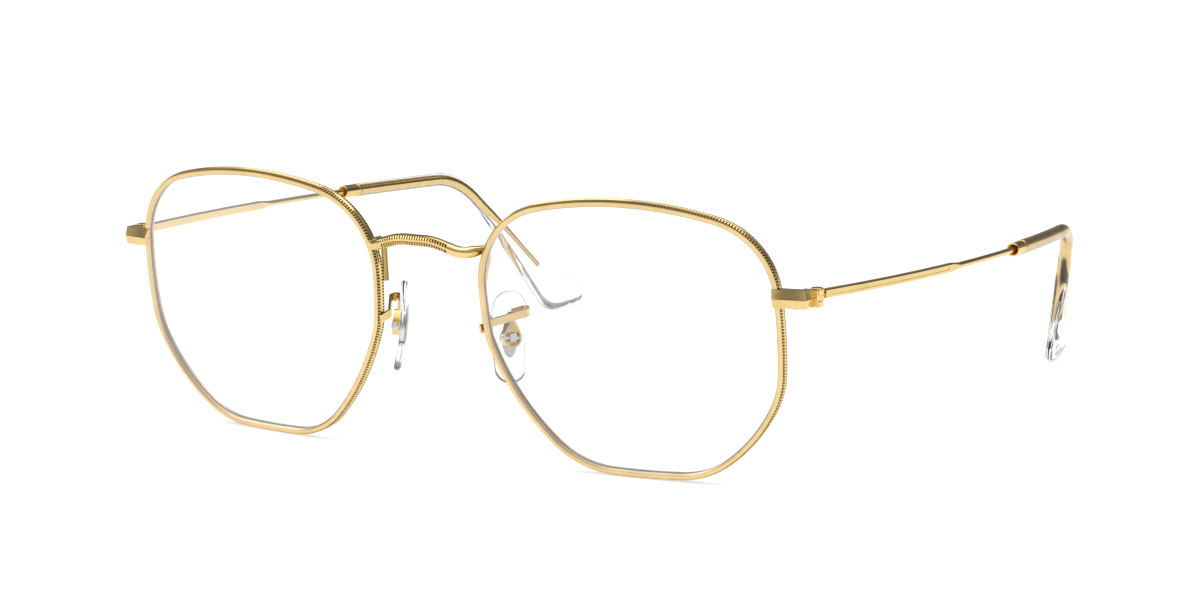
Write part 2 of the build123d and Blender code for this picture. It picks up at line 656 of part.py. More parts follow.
def make_pad_box():
    """The teardrop cup that holds the lug, with a neck up to the arm."""
    floor_at = PAD_THICKNESS / 2 + BOX_GAP
    teardrop = make_hull(
        Circle(BOX_DIAMETER / 2).edges() + (Pos(0, BOX_SHOULDER_RISE) * Circle(BOX_SHOULDER_DIAMETER / 2)).edges()
    )
    seat = Plane(origin=(floor_at, -BOX_FORWARD, 0), x_dir=(0, 1, 0), z_dir=(1, 0, 0))
    cup = extrude(seat * teardrop, amount=BOX_DEPTH)
    flats = Pos(floor_at + BOX_DEPTH / 2, -BOX_FORWARD, 0) * Box(BOX_DEPTH, BOX_DIAMETER, PAD_HEAD_DIAMETER)
    neck = Pos(neck_depth(), -BOX_FORWARD, BOX_NECK_RISE / 2) * Box(
        BOX_NECK_THICKNESS, BOX_NECK_WIDTH, BOX_NECK_RISE
    )
    hollow = extrude(seat.offset(BOX_FLOOR) * Circle(BOX_DIAMETER / 2 - BOX_WALL), amount=BOX_DEPTH)
    slot = Pos(floor_at, -BOX_FORWARD, 0) * Box(
        2 * BOX_DEPTH, LUG_WIDTH + 2 * LUG_SLOT_CLEARANCE, LUG_HEIGHT + 2 * LUG_SLOT_CLEARANCE
    )
    return pad_place() * (cup + flats + neck - hollow - slot - pad_screw_bore(BOX_DIAMETER + OVERRUN))


def make_pad_arm(rim_blank, box):
    """The flat strip from the rim's nose side back to a hairpin turn, and forward to the box's neck."""
    plane = Pos(0, 0, EYE_RISE) * Rot(X=ARM_PITCH) * Pos(0, 0, ARM_RISE)
    turn = ARM_RETURN_WIDTH / 2
    rear = ARM_RETURN_LENGTH - BOX_FORWARD

    def beside_pad(out, back):
        spot = plane.inverse() * pad_place() * Pos(neck_depth() + out, back, BOX_NECK_RISE)
        return spot.position.X, spot.position.Y

    leg_end, return_start = beside_pad(ARM_RETURN_WIDTH, rear), beside_pad(0, rear)
    root_x = NOSE_SIDE - ARM_ROOT_INSET
    leg = Polyline((root_x, -ARM_ROOT_FORWARD), (root_x, ARM_ELBOW_BACK), leg_end)
    hairpin = ThreePointArc(leg_end, beside_pad(turn, rear + turn), return_start)
    back = Line(return_start, beside_pad(0, -BOX_FORWARD))
    plan = trace(leg, ARM_THICKNESS) + trace(hairpin, ARM_THICKNESS) + trace(back, ARM_THICKNESS)
    return plane * extrude(plan, amount=ARM_HEIGHT / 2, both=True) - rim_blank - box


os.makedirs("parts", exist_ok=True)

level_rim = lens_place(0) * make_rim()
EYE_RISE = -level_rim.bounding_box().min.Z
HINGE_Z = EYE_RISE + HINGE_RISE
STACK_Z = HINGE_Z - KNUCKLE_DROP
place = lens_place(EYE_RISE)
rim_blank = place * eye_plate(RIM_WIDTH, 0, RIM_DEPTH)
rim_space = place * eye_plate(RIM_WIDTH, 0, RIM_DEPTH + OVERRUN)
opening = place * eye_prism(0)
PADDLE_CENTRE = paddle_centre()
split = Pos(HINGE_X, 0, HINGE_Z) * Box(2 * BLOCK_REACH, 2 * HINGE_Y, RIM_SPLIT)
pad_box = make_pad_box()

left_pieces = {
    "rim": place * make_rim() - split,
    "lens": place * make_lens(),
    "endpiece": make_endpiece(),
    "closing_block": make_closing_block(),
    "rim_lock_screw": make_lock_screw(),
    "hinge_screw": make_hinge_screw(),
    "temple": make_temple(),
    "ferrule": make_ferrule(),
    "temple_tip": make_tip(),
    "nose_pad": make_nose_pad(),
    "pad_insert": make_pad_insert(),
    "pad_screw": make_pad_screw(),
    "pad_box": pad_box,
    "pad_arm": make_pad_arm(rim_blank, pad_box),
}
pieces = {"bridge": make_bridge(rim_blank)}
for name, left in left_pieces.items():
    pieces[name + "_left"] = left
    pieces[name + "_right"] = mirror(left, about=Plane.YZ)

# The origin is brought under the middle of the whole.
boxes = [piece.bounding_box() for piece in pieces.values()]
front_y, rear_y = min(box.min.Y for box in boxes), max(box.max.Y for box in boxes)
CENTRING = Pos(0, -(front_y + rear_y) / 2, 0)
for name, piece in pieces.items():
    export_step(CENTRING * piece, f"parts/{name}.step")
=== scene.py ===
import math

import bmesh
import bpy
from mathutils import Matrix, Vector


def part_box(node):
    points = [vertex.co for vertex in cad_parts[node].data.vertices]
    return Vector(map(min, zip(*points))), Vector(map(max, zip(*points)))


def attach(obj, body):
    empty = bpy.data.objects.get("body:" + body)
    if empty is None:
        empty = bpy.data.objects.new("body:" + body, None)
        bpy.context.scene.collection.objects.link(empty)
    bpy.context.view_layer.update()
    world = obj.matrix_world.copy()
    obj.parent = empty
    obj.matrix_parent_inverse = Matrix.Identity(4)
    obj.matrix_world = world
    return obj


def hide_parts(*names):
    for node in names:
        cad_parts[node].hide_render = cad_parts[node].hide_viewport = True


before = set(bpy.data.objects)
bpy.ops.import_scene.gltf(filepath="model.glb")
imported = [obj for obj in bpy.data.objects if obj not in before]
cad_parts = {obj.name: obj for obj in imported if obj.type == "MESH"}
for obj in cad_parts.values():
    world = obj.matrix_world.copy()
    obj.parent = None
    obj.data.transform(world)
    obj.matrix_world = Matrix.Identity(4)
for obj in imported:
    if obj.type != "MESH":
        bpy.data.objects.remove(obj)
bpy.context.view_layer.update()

# Hexagonal eyeglasses, dressed piece by piece. Sizes below are in millimetres and take MM to become metres.
MM = 0.001

# Lens opening and rim, as the solids have them, the outline as shares of the opening's width and height
EYE_WIDTH = 53.0
EYE_HEIGHT = 46.4
LENS_SPACING = 76.7
BASE_RADIUS = 168.0
WRAP = 6.4
TILT = 7.96
HINGE_Y = 9.08
HINGE_RISE = 8.72
SIDE_BOW_SHARES = (1.68, 1.25, 1.31, 0.842, 3.42, 0.566)
CORNER_SHARES = (0.253, 0.265, 0.172, 0.289, 0.275, 0.293)
CORNER_ACROSS_SHARES = (0.2337, -0.2446, -0.3293, -0.0899, 0.123, 0.1927)
CORNER_UP_SHARES = (0.1545, 0.1537, 0.0048, -0.1833, -0.2008, -0.0824)
RIM_WIDTH = 1.15
RIM_STATIONS = 640

# The lock screw's end over the height of the hinge
LOCK_SCREW_TOP = 1.1

# The rim's section from the inner bevel round, as (moved out from the opening, depth behind the lens curve,
# finish of the face that follows)
# The recess finish is a near-black gold: shade painted into the fine groove and onto the floors of both
# milled rows.
POLISHED, SATIN, INNER, SHADED_RECESS = range(4)
RIM_SECTION = (
    (-0.12, 0.34, INNER),
    (0.16, 0.04, SATIN), (0.21, 0.005, SATIN), (0.40, 0.00, SATIN), (0.60, 0.00, SATIN),
    (0.80, 0.01, SATIN),
    (0.86, 0.03, SHADED_RECESS), (0.87, 0.09, SHADED_RECESS), (0.90, 0.08, SHADED_RECESS),
    (1.06, 0.52, POLISHED), (1.10, 0.55, POLISHED), (1.09, 0.62, POLISHED), (1.03, 0.66, POLISHED),
    (1.02, 0.84, POLISHED), (1.03, 1.00, POLISHED), (1.08, 1.06, POLISHED),
    (1.04, 1.08, SHADED_RECESS),
    (1.04, 1.54, POLISHED), (1.02, 1.60, POLISHED), (0.06, 1.60, POLISHED),
    (0.00, 1.54, INNER), (0.00, 1.10, INNER), (0.45, 1.10, INNER), (0.45, 0.50, INNER), (0.00, 0.50, INNER),
    (-0.12, 0.45, INNER),
)

# Milled rows round the rims: where a row's floor lies, as (moved out, depth), and its lean to the front.
# The rear row's teeth stop just short of the rim's full width.
FRONT_ROW_AT = (0.98, 0.30)
FRONT_ROW_LEAN = 20.0
FRONT_ROW_WIDTH = 0.44
FRONT_ROW_PITCH = 0.54
FRONT_TOOTH_HEIGHT = 0.11
REAR_ROW_AT = (1.04, 1.31)
REAR_ROW_LEAN = 0.0
REAR_ROW_WIDTH = 0.46
REAR_ROW_PITCH = 0.54
REAR_ROW_CLEARANCE = 0.015
REAR_TOOTH_HEIGHT = RIM_WIDTH - REAR_ROW_CLEARANCE - REAR_ROW_AT[0]
TOOTH_SHARE = 0.52
TOOTH_TOP_SHARE = 0.72

# End block: half the height of its facets, how far and which way (to the middle, to the rear) they lean,
# and where the lean starts, going from the hinge to the rim, and over what length it grows
BLOCK_HALF = 1.7
BLOCK_LEAN = 0.5
BLOCK_LEAN_WAY = (0.35, 0.94)
BLOCK_FADE_START = 1.6
BLOCK_FADE_LENGTH = 4.0

# Bridge, as the solid has it, and its milled rows, whose channels have walls of a degree
BRIDGE_WIRE = 2.0
BRIDGE_CREST = (3.4, -4.97, 14.54)
BRIDGE_CREST_RADIUS = 11.0
BRIDGE_DIP = (9.1, -4.6, 12.85)
BRIDGE_DIP_RADIUS = 2.4
BRIDGE_END = (10.8, 0.05, 13.1)
BRIDGE_SEAM = 6.6
BRIDGE_STEP = 0.15
BRIDGE_FACE_ANGLE = 10.0
BRIDGE_ROW_HALF = 6.4
BRIDGE_ROW_PITCH = 0.50
BRIDGE_ROW_EDGE = 0.03
BRIDGE_RECESS = 0.10
BRIDGE_WALL_ANGLE = 1.0
BRIDGE_ROW_WIDTH = 0.6
BRIDGE_ROW_ANGLES = (-30.0, 30.0)
# The channel finish is a near-black gold: shade painted onto the floors of the bridge's two milled
# channels.
WIRE, SHADED_CHANNEL = range(2)

# Temple line, as the solid has it
HINGE_X = 69.0
TEMPLE_BOW_RADIUS = 300.0
TEMPLE_SPLAY = 9.6
TEMPLE_FALL = 2.0
BAR_OUTSET = 0.15
BAR_RISE = 0.3
EAR_BEND_AT = 105.5
EAR_BEND_RADIUS = 15.0
DROP_ANGLE = 47.0
TUCK_ANGLE = 27.0

# Clear tip: the round sleeve, and the paddle's corners as (across to the rear, down) from its middle.
# The sleeve's width holds down to SLEEVE_ENDS_AT, the paddle is flat where it is wider than the sleeve by
# PADDLE_FLAT_FROM each way, and its foot is rounded over the last stretch. Its section is a squared oval.
TIP_MOUTH_AT = 74.39
TIP_DIAMETER = 2.66
TIP_SIDES = 40
TIP_FLOOR_GAP = 0.01
SLEEVE_RINGS = 16
BEND_RINGS = 24
BEND_JOIN = 0.2
SLEEVE_ENDS_AT = -7.0
PADDLE_THICKNESS = 2.36
PADDLE_CORNERS = ((-1.0, -29.0), (-6.45, -0.4), (5.55, 8.35), (1.0, -18.0), (1.0, -29.0))
PADDLE_RADII = (0.2, 5.0, 2.0, 8.0, 0.2)
PADDLE_OUTLINE_STEP = 0.25
PADDLE_RINGS = 70
PADDLE_FLAT_FROM = 2.5
FOOT_ROUNDING = 1.6
FOOT_RING_HEIGHTS = (0.35, 0.2, 0.1, 0.03)
ROUND = 2.0
SQUARED = 3.0

# Nose pad: its middle, its turns and its outline's corners as (to the rear, up)
PAD_MIDDLE = (10.65, 7.47, -3.2)
PAD_TURNS = (("X", -5.9), ("Z", -29.0), ("Y", -2.5))
PAD_CORNERS = ((3.0, 7.9), (-4.3, 7.9), (-2.6, -7.9), (3.0, -7.9))
PAD_RADII = (3.3, 3.3, 2.5, 2.5)
PAD_THICKNESS = 1.2
PAD_BOW_RADIUS = 40.0
PAD_EDGE_RADIUS = 0.5
PAD_EDGE_ANGLES = range(0, 91, 15)
PAD_FACE_SHARES = (0.06, 0.3, 0.55, 0.8)
PAD_STEP = 0.3

# Copies and lofts: how near corners are merged, and the angles past which edges stay sharp
MERGE_DISTANCE = 0.0005
SOLID_SHARP_ANGLE = 28.0
BLOCK_SHARP_ANGLE = 20.0
RIM_SHARP_ANGLE = 24.0
LOFT_SHARP_ANGLE = 50.0

# Patterns in the materials: noise scales for each metre, depths of relief, and the stretch of the noise
# over which one tone turns to the other
CLOUD_MIX = (0.35, 0.65)
HAZE_MIX = (0.3, 0.7)
CLOUD_SCALE = 180.0
GRAIN_SCALE = 2600.0
GRAIN_DEPTH = 0.004
GRAIN_STRENGTH = 0.5
ALONG_THE_BAR = (1.0, 0.05, 1.0)
FLOW_SCALE = 60.0
FLOW_STRETCH = (1.0, 0.3, 1.0)
FLOW_DEPTH = 0.05
FLOW_STRENGTH = 0.12
FLOW_PALER = 0.02
HAZE_SCALE = 25.0
FLOOR_GRAIN_SCALE = 9.0

# Lens: how much of it shows square on and turned away, and its coating's tints
LENS_IOR = 1.5
LENS_TINTS = ((0.93, 0.96, 0.97), (0.97, 0.98, 0.96))
LENS_ROUGHNESS = (0.02, 0.05)
LENS_SHOWS = (0.035, 0.55)
LENS_FACING_BLEND = 0.25

# Camera
CAMERA_AT = (329.94, -502.06, 136.17)
CAMERA_RIGHT = (0.8613, 0.50808, -0.00443)
CAMERA_UP = (-0.08646, 0.15515, 0.98410)
CAMERA_BACK = (0.50068, -0.84720, 0.17755)
CAMERA_SEES = (10.0, 20000.0)
LENS_LENGTH = 107.06
SENSOR_WIDTH = 36.0

# Floor, suns as (name, direction they shine from, strength, width in degrees), and surroundings as
# (place, grey), from the dark side to the bright one and from straight down to straight up
FLOOR_HALF = 6000.0
FLOOR_GREYS = (0.61, 0.63)
FLOOR_ROUGHNESS = 0.9
FLOOR_GLOW = 0.55
SUNS = (("key", (-0.60, -0.35, 0.72), 0.8, 40.0), ("rear", (0.10, 0.55, 0.83), 0.4, 25.0))
BRIGHT_SIDE = (0.30, -0.90, 0.25)
GREYS_BY_SIDE = ((0.0, 0.50), (0.30, 0.32), (0.45, 0.35), (0.62, 0.95), (0.80, 1.0), (1.0, 1.0))
GREYS_BY_HEIGHT = (
    (0.0, 0.60), (0.50, 0.42), (0.56, 0.30), (0.64, 0.15), (0.74, 0.15),
    (0.80, 0.36), (0.90, 0.30), (0.95, 1.0), (1.0, 1.0),
)
WORLD_STRENGTH = 2.2

hinge_low, hinge_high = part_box("hinge_screw_left")
SHIFT = (hinge_low.y + hinge_high.y) / 2 / MM - HINGE_Y
_, lock_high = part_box("rim_lock_screw_left")
EYE_RISE = lock_high.z / MM - LOCK_SCREW_TOP - HINGE_RISE


# Node trees

def link_chain(tree, *sockets):
    """Links pairs of sockets, output first."""
    for start, end in zip(sockets[::2], sockets[1::2]):
        tree.links.new(start, end)


def add_node(tree, kind, **values):
    """A node with its properties, and its inputs where a name is an input's."""
    node = tree.nodes.new(kind)
    for name, value in values.items():
        if name in node.inputs:
            node.inputs[name].default_value = value
        else:
            setattr(node, name, value)
    return node


def new_material(name):
    """A material with an empty tree but for its shader and output."""
    material = bpy.data.materials.new(name)
    material.use_nodes = True
    tree = material.node_tree
    tree.nodes.clear()
    shader = tree.nodes.new("ShaderNodeBsdfPrincipled")
    output = tree.nodes.new("ShaderNodeOutputMaterial")
    tree.links.new(shader.outputs["BSDF"], output.inputs["Surface"])
    return material, tree, shader


def noise_at(tree, scale, detail=3.0, stretch=(1.0, 1.0, 1.0)):
    """Noise over the piece's own coordinates."""
    place = tree.nodes.new("ShaderNodeTexCoord")
    mapping = tree.nodes.new("ShaderNodeMapping")
    mapping.inputs["Scale"].default_value = stretch
    noise = tree.nodes.new("ShaderNodeTexNoise")
    noise.inputs["Scale"].default_value = scale
    noise.inputs["Detail"].default_value = detail
    link_chain(tree, place.outputs["Object"], mapping.inputs["Vector"],
               mapping.outputs["Vector"], noise.inputs["Vector"])
    return noise.outputs["Fac"]


def ramp(tree, factor, *stops):
    """A colour ramp over a factor, from (position, colour) stops."""
    node = tree.nodes.new("ShaderNodeValToRGB")
    while len(node.color_ramp.elements) < len(stops):
        node.color_ramp.elements.new(0.5)
    for element, (position, colour) in zip(node.color_ramp.elements, stops):
        element.position = position
        element.color = (*colour, 1.0)
    tree.links.new(factor, node.inputs["Fac"])
    return node.outputs["Color"]


def two_tones(tree, factor, mix, dark, light):
    """A dark tone that turns to a light one over a stretch of a factor."""
    start, end = mix
    return ramp(tree, factor, (start, dark), (end, light))


def grey_ramp(tree, factor, greys):
    """A ramp over a factor, from (position, grey) stops."""
    return ramp(tree, factor, *[(position, (grey,) * 3) for position, grey in greys])


def spread(tree, factor, low, high):
    """A factor between 0 and 1 brought to lie between two values."""
    node = tree.nodes.new("ShaderNodeMapRange")
    node.inputs["To Min"].default_value = low
    node.inputs["To Max"].default_value = high
    tree.links.new(factor, node.inputs["Value"])
    return node.outputs["Result"]


def bump(tree, shader, height, distance, strength):
    """A bump under the shader's normal."""
    node = tree.nodes.new("ShaderNodeBump")
    node.inputs["Strength"].default_value = strength
    node.inputs["Distance"].default_value = distance
    link_chain(tree, height, node.inputs["Height"], node.outputs["Normal"], shader.inputs["Normal"])


def metal(name, dark, light, smooth, rough, brush=(1.0, 1.0, 1.0)):
    """Plated metal: a cloudy tone, a roughness that wanders, and a fine draw or polish in the bump."""
    material, tree, shader = new_material(name)
    shader.inputs["Metallic"].default_value = 1.0
    cloud = noise_at(tree, CLOUD_SCALE)
    tree.links.new(two_tones(tree, cloud, CLOUD_MIX, dark, light), shader.inputs["Base Color"])
    grain = noise_at(tree, GRAIN_SCALE, detail=4.0, stretch=brush)
    tree.links.new(spread(tree, grain, smooth, rough), shader.inputs["Roughness"])
    bump(tree, shader, grain, GRAIN_DEPTH * MM, GRAIN_STRENGTH)
    return material


def clear_plastic(name, tint, ior, smooth, rough):
    """Clear moulded plastic with faint flow lines."""
    material, tree, shader = new_material(name)
    shader.inputs["Transmission Weight"].default_value = 1.0
    shader.inputs["IOR"].default_value = ior
    flow = noise_at(tree, FLOW_SCALE, detail=2.0, stretch=FLOW_STRETCH)
    pale = tuple(min(1.0, part + FLOW_PALER) for part in tint)
    tree.links.new(two_tones(tree, flow, HAZE_MIX, tint, pale), shader.inputs["Base Color"])
    tree.links.new(spread(tree, flow, smooth, rough), shader.inputs["Roughness"])
    bump(tree, shader, flow, FLOW_DEPTH * MM, FLOW_STRENGTH)
    return material


def lens_material():
    """A coated clear lens: nearly nothing square on, and a cool sheen where it turns away."""
    material, tree, shader = new_material("coated_lens")
    shader.inputs["IOR"].default_value = LENS_IOR
    haze = noise_at(tree, HAZE_SCALE, detail=2.0)
    cool, warm = LENS_TINTS
    tree.links.new(two_tones(tree, haze, HAZE_MIX, cool, warm), shader.inputs["Base Color"])
    tree.links.new(spread(tree, haze, *LENS_ROUGHNESS), shader.inputs["Roughness"])
    facing = tree.nodes.new("ShaderNodeLayerWeight")
    facing.inputs["Blend"].default_value = LENS_FACING_BLEND
    tree.links.new(spread(tree, facing.outputs["Facing"], *LENS_SHOWS), shader.inputs["Alpha"])
    return material


def floor_material():
    """A pale matt floor that glows a little, so that the light on it is even."""
    material, tree, shader = new_material("pale_floor")
    grain = noise_at(tree, FLOOR_GRAIN_SCALE, detail=4.0)
    dark, light = ((grey,) * 3 for grey in FLOOR_GREYS)
    tree.links.new(two_tones(tree, grain, HAZE_MIX, dark, light), shader.inputs["Base Color"])
    shader.inputs["Roughness"].default_value = FLOOR_ROUGHNESS
    shader.inputs["Emission Color"].default_value = (1.0, 1.0, 1.0, 1.0)
    shader.inputs["Emission Strength"].default_value = FLOOR_GLOW
    return material


GOLD_DARK, GOLD_LIGHT = (0.72, 0.52, 0.215), (0.80, 0.58, 0.26)
polished_gold = metal("polished_gold", GOLD_DARK, GOLD_LIGHT, smooth=0.07, rough=0.14)
satin_gold = metal("satin_gold", (0.72, 0.53, 0.24), (0.80, 0.59, 0.29), smooth=0.16, rough=0.26)
drawn_gold = metal("drawn_gold", GOLD_DARK, GOLD_LIGHT, smooth=0.13, rough=0.22, brush=ALONG_THE_BAR)
inner_gold = metal("inner_gold", (0.66, 0.53, 0.37), (0.74, 0.61, 0.45), smooth=0.34, rough=0.46)
# A near-black gold that stands for shade: painted shade on the floors of the groove, the milled rows and
# the channels.
painted_shade_gold = metal("painted_shade_gold", (0.045, 0.026, 0.006), (0.10, 0.06, 0.015), smooth=0.45, rough=0.60)
milled_gold = metal("milled_gold", (0.80, 0.57, 0.24), (0.88, 0.65, 0.30), smooth=0.14, rough=0.22)
nickel = metal("nickel", (0.58, 0.58, 0.57), (0.70, 0.70, 0.69), smooth=0.14, rough=0.26)
clear_tip = clear_plastic("clear_tip", (0.96, 0.96, 0.95), ior=1.49, smooth=0.02, rough=0.05)
clear_pad = clear_plastic("clear_pad", (0.96, 0.97, 0.97), ior=1.43, smooth=0.03, rough=0.07)
coated_lens = lens_material()


# Mesh pieces

def sharpen(mesh, degrees):
    """Smooth shading with sharp edges past an angle."""
    shape = bmesh.new()
    shape.from_mesh(mesh)
    limit = math.radians(degrees)
    for face in shape.faces:
        face.smooth = True
    for edge in shape.edges:
        edge.smooth = len(edge.link_faces) == 2 and edge.calc_face_angle(0.0) < limit
    shape.to_mesh(mesh)
    shape.free()


def mesh_of(shape, name, sharp_angle=None):
    """Turns a shape into a mesh, shaded smoothly up to an angle where one is given."""
    mesh = bpy.data.meshes.new(name)
    shape.to_mesh(mesh)
    shape.free()
    if sharp_angle:
        sharpen(mesh, sharp_angle)
    return mesh


def skin(shape, ring, after, finishes):
    """The faces between two rings of corners, each with its finish."""
    faces = []
    for step, finish in enumerate(finishes):
        follow = (step + 1) % len(finishes)
        face = shape.faces.new((ring[step], after[step], after[follow], ring[follow]))
        face.material_index = finish
        faces.append(face)
    return faces


def add_piece(name, mesh, body, slot, *materials):
    """A finished piece that rides on a body."""
    piece = bpy.data.objects.new(name, mesh)
    bpy.context.scene.collection.objects.link(piece)
    for material in materials:
        mesh.materials.append(material)
    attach(piece, body)
    return piece


def merged_solid(node):
    """A CAD node's triangles as a shape of its own, with the corners that they share merged."""
    shape = bmesh.new()
    shape.from_mesh(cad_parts[node].data)
    bmesh.ops.remove_doubles(shape, verts=shape.verts, dist=MERGE_DISTANCE * MM)
    return shape


def part_of_whole(value):
    """A value kept between 0 and 1."""
    return max(0.0, min(1.0, value))


def crown_block(shape):
    """Leans an end block's two outer facets back from the ridge between them, and less near the hinge."""
    ridge = (EYE_RISE + HINGE_RISE) * MM
    inwards, back = BLOCK_LEAN_WAY
    for vert in shape.verts:
        lean = part_of_whole(abs(vert.co.z - ridge) / (BLOCK_HALF * MM))
        from_hinge = HINGE_X - abs(vert.co.x) / MM
        fade = part_of_whole((from_hinge - BLOCK_FADE_START) / BLOCK_FADE_LENGTH)
        vert.co += Vector((-math.copysign(inwards, vert.co.x), back, 0)) * (BLOCK_LEAN * MM * lean * fade)


def dressed_copy(node, body, slot, material, sharp_angle=SOLID_SHARP_ANGLE, shaped=None):
    """A merged, smoothly shaded copy of a CAD node that stands for it, with a last shaping if given."""
    shape = merged_solid(node)
    if shaped:
        shaped(shape)
    name = node + "_dressed"
    piece = add_piece(name, mesh_of(shape, name, sharp_angle), body, slot, material)
    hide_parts(node)


# The eye outline: six bowed sides and the rounded corners between them

def circle_meeting(centre_a, reach_a, centre_b, reach_b, facing):
    """The point at the two given distances from two centres, on the side that the facing looks to."""
    across = centre_b - centre_a
    apart = across.length
    along = (reach_a ** 2 - reach_b ** 2 + apart ** 2) / (2 * apart)
    off = math.sqrt(reach_a ** 2 - along ** 2)
    unit = across / apart
    side = Vector((-unit.y, unit.x))
    meetings = [centre_a + unit * along + side * off * way for way in (1, -1)]
    return max(meetings, key=lambda point: point.dot(facing))


def eye_arcs():
    """The arcs of the lens opening, anticlockwise, as (centre, radius, start angle, turn)."""
    bows = [share * EYE_WIDTH for share in SIDE_BOW_SHARES]
    corners = [share * EYE_WIDTH for share in CORNER_SHARES]
    pivots = [Vector((across * EYE_WIDTH, up * EYE_HEIGHT))
              for across, up in zip(CORNER_ACROSS_SHARES, CORNER_UP_SHARES)]
    centres = []
    for side, bow in enumerate(bows):
        before, after = pivots[side - 1], pivots[side]
        reach_before, reach_after = bow - corners[side - 1], bow - corners[side]
        centres.append(circle_meeting(before, reach_before, after, reach_after, -before - after))

    def arc(centre, radius, begin, end):
        first, last = (math.atan2(way.y, way.x) for way in (begin, end))
        return centre, radius, first, (last - first + math.pi) % math.tau - math.pi

    arcs = []
    for side, bow in enumerate(bows):
        after = (side + 1) % len(bows)
        turn_in, turn_out = pivots[side] - centres[side], pivots[side] - centres[after]
        arcs.append(arc(centres[side], bow, pivots[side - 1] - centres[side], turn_in))
        arcs.append(arc(pivots[side], corners[side], turn_in, turn_out))
    return arcs


def eye_length(grow):
    """How long the outline is when it is moved out by grow."""
    return sum((radius + grow) * turn for _, radius, _, turn in eye_arcs())


def eye_stations(grow, count):
    """Points evenly spaced round the outline moved out by grow, each with its outward direction."""
    arcs = eye_arcs()
    total = eye_length(grow)
    stations = []
    for index in range(count):
        rest = total * index / count
        for centre, radius, begin, turn in arcs:
            length = (radius + grow) * turn
            if rest <= length:
                break
            rest -= length
        bearing = begin + turn * rest / length
        out = Vector((math.cos(bearing), math.sin(bearing)))
        stations.append((centre + out * (radius + grow), out))
    return stations


def lens_place(way):
    """The place of a lens in the model, for the left side (way 1) or the right side (way -1)."""
    left = (Matrix.Translation((0, SHIFT, EYE_RISE)) @ Matrix.Rotation(math.radians(TILT), 4, "X")
            @ Matrix.Translation((LENS_SPACING / 2, 0, 0)) @ Matrix.Rotation(math.radians(WRAP), 4, "Z"))
    return Matrix.Diagonal((way, 1, 1, 1)) @ left


def on_lens_curve(spot, depth):
    """A point of the lens plane set back onto the lens curve, moved back by depth."""
    flat = spot.length_squared
    return Vector((spot.x, BASE_RADIUS - math.sqrt((BASE_RADIUS - depth) ** 2 - flat), spot.y))


def make_rim(side, way):
    """A rim wire with its stepped front, the two floors for the milled rows, and the lens groove."""
    place = lens_place(way)
    shape = bmesh.new()
    rings = []
    for spot, out in eye_stations(0.0, RIM_STATIONS):
        rings.append([shape.verts.new(place @ on_lens_curve(spot + out * grow, depth) * MM)
                      for grow, depth, _ in RIM_SECTION])
    finishes = [finish for _, _, finish in RIM_SECTION]
    for ring, after in zip(rings, rings[1:] + rings[:1]):
        skin(shape, ring, after, finishes)
    bmesh.ops.recalc_face_normals(shape, faces=shape.faces)
    name = "rim_wire_" + side
    # The fourth finish is painted shade in the groove and on the floors of the milled rows.
    rim = add_piece(name, mesh_of(shape, name, RIM_SHARP_ANGLE), "front", "light_gold_metal",
                    polished_gold, satin_gold, inner_gold, painted_shade_gold)
    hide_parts("rim_" + side)


# Milled teeth, set by Geometry Nodes on points that carry their own turn

def tooth_tree():
    """Stands a flat-topped tooth on every point, turned as the point's attribute says.

    A tooth is a four-sided cone of size 1, cut off at the top, whose sides are turned to lie along the row.
    """
    tree = bpy.data.node_groups.new("milled_teeth", "GeometryNodeTree")
    sockets = tree.interface
    sockets.new_socket("Geometry", in_out="INPUT", socket_type="NodeSocketGeometry")
    for name in ("Tooth length", "Tooth width", "Tooth height", "Top share"):
        sockets.new_socket(name, in_out="INPUT", socket_type="NodeSocketFloat")
    sockets.new_socket("Finish", in_out="INPUT", socket_type="NodeSocketMaterial")
    sockets.new_socket("Geometry", in_out="OUTPUT", socket_type="NodeSocketGeometry")
    given = tree.nodes.new("NodeGroupInput")
    result = tree.nodes.new("NodeGroupOutput")
    half_root = math.sqrt(0.5)
    cone = add_node(tree, "GeometryNodeMeshCone", Vertices=4, Depth=1.0)
    cone.inputs["Radius Bottom"].default_value = half_root
    top = add_node(tree, "ShaderNodeMath", operation="MULTIPLY")
    top.inputs[1].default_value = half_root
    turn = tree.nodes.new("GeometryNodeTransform")
    turn.inputs["Rotation"].default_value = (0.0, 0.0, math.radians(45.0))
    size = tree.nodes.new("ShaderNodeCombineXYZ")
    scale = tree.nodes.new("GeometryNodeTransform")
    way = add_node(tree, "GeometryNodeInputNamedAttribute", data_type="FLOAT_VECTOR", Name="turn")
    rotation = tree.nodes.new("FunctionNodeEulerToRotation")
    stand = tree.nodes.new("GeometryNodeInstanceOnPoints")
    real = tree.nodes.new("GeometryNodeRealizeInstances")
    paint = tree.nodes.new("GeometryNodeSetMaterial")
    link_chain(
        tree,
        given.outputs["Top share"], top.inputs[0],
        top.outputs[0], cone.inputs["Radius Top"],
        cone.outputs["Mesh"], turn.inputs["Geometry"],
        turn.outputs["Geometry"], scale.inputs["Geometry"],
        given.outputs["Tooth length"], size.inputs["X"],
        given.outputs["Tooth width"], size.inputs["Y"],
        given.outputs["Tooth height"], size.inputs["Z"],
        size.outputs["Vector"], scale.inputs["Scale"],
        given.outputs["Geometry"], stand.inputs["Points"],
        scale.outputs["Geometry"], stand.inputs["Instance"],
        way.outputs["Attribute"], rotation.inputs["Euler"],
        rotation.outputs["Rotation"], stand.inputs["Rotation"],
        stand.outputs["Instances"], real.inputs["Geometry"],
        real.outputs["Geometry"], paint.inputs["Geometry"],
        given.outputs["Finish"], paint.inputs["Material"],
        paint.outputs["Geometry"], result.inputs["Geometry"],
    )
    return tree


milled_teeth = tooth_tree()


